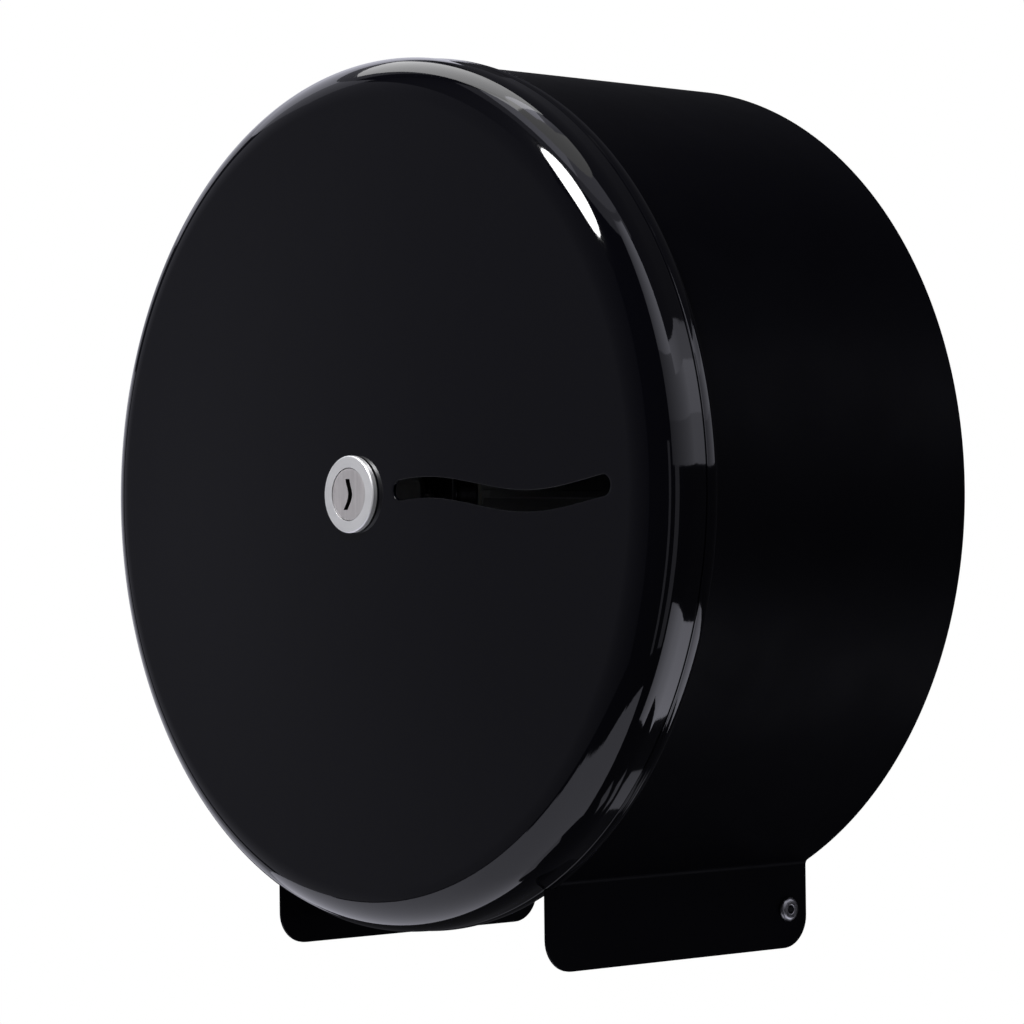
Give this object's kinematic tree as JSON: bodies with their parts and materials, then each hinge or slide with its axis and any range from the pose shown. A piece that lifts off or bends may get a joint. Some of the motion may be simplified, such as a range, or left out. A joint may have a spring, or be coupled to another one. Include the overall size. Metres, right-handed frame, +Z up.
{
  "type": "jumbo toilet roll dispenser",
  "caption": "Round wall-mounted dispenser for jumbo toilet rolls: glossy domed cover with a wavy viewing slot and a key lock, satin drum with two cheeks, tipping open on a wall plate with a roll hub.",
  "frame": {"origin": "where the drum's axis meets the wall", "axes": "+X to the right and +Z up for someone facing the dispenser, +Y into the wall, so the front faces -Y"},
  "size_m": [0.2706, 0.1355, 0.2793],
  "materials": {
    "gloss_black": "high-gloss black enamel on pressed sheet steel",
    "satin_black": "satin black powder coat on sheet steel",
    "zinc_plate": "bright zinc-plated steel",
    "polished_tube": "drawn steel tube, polished",
    "spring_steel": "oiled spring steel",
    "dark_rivet": "black-plated steel rivet, half gloss",
    "lock_chrome": "satin chrome on die-cast zinc",
    "black_rubber": "black rubber sheet",
    "nylon": "natural nylon",
    "hub_plastic": "grey moulded plastic"
  },
  "bodies": {
    "wall_unit": {"back_plate": "satin_black", "spindle_foot": "zinc_plate", "foot_rivets": "zinc_plate", "spindle_tube": "polished_tube", "nose_plug": "zinc_plate", "thrust_washer": "nylon", "retaining_ring": "spring_steel", "keeper_hook": "zinc_plate", "keeper_screw": "zinc_plate", "pivot_rivet_left": "dark_rivet", "pivot_rivet_right": "dark_rivet", "pivot_washers": "nylon"},
    "hub": {"hub_sleeve": "hub_plastic", "rear_bush": "nylon", "front_bush": "nylon"},
    "casing": {"front_cover": "gloss_black", "drum_band": "satin_black", "cover_studs": "zinc_plate", "stud_washers": "zinc_plate", "stud_nuts": "zinc_plate", "lock_gasket": "black_rubber", "lock_body": "lock_chrome", "lock_tooth_washer": "spring_steel", "lock_nut": "zinc_plate"},
    "lock_core": {"lock_plug": "lock_chrome", "lock_cam": "zinc_plate", "cam_washer": "spring_steel", "cam_screw": "zinc_plate"}
  },
  "joints": [
    {"name": "casing_tilt", "type": "hinge", "parent": "wall_unit", "child": "casing", "pos_m": [0, -0.0114, -0.1318], "axis": [1, 0, 0], "range_deg": [0, 65]},
    {"name": "lock_turn", "type": "hinge", "parent": "casing", "child": "lock_core", "pos_m": [0, -0.12, 0], "axis": [0, 1, 0], "range_deg": [0, 90]},
    {"name": "hub_spin", "type": "hinge", "parent": "wall_unit", "child": "hub", "pos_m": [0, -0.05, 0], "axis": [0, 1, 0], "continuous": true}
  ]
}
